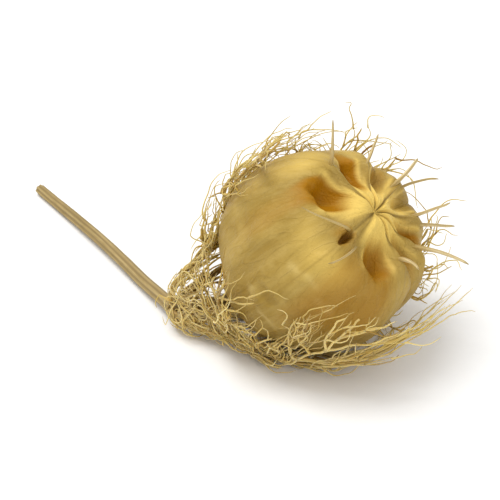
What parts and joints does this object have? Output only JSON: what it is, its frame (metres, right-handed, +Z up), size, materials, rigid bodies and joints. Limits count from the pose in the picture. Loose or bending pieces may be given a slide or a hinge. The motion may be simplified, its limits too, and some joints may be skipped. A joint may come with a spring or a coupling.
{
  "type": "nigella seed pod",
  "caption": "Dried inflated seed pod with a star-shaped top, a crown of dry horns, thread-like lacy bracts around it and a short cut stem, lying on its side.",
  "frame": {"origin": "middle of the small flat spot under the pod that it rests on", "axes": "+Z up from the surface; the pod's star faces +X and up, leaning 48 degrees above the surface, the neck under it bends towards -Y, and the cut stem then runs back along -X and towards +Y"},
  "size_m": [0.0788, 0.0359, 0.0357],
  "materials": {
    "pod_wall": "dry papery straw gold, soft satin, browner in the hollows of the star",
    "stem_skin": "dry ribbed straw, matt",
    "bract_threads": "dry pale straw threads, matt"
  },
  "bodies": {
    "root": {"seed_pod": "pod_wall", "stem": "stem_skin", "bract_1": "bract_threads", "bract_2": "bract_threads", "bract_3": "bract_threads", "bract_4": "bract_threads", "bract_5": "bract_threads"}
  },
  "joints": []
}
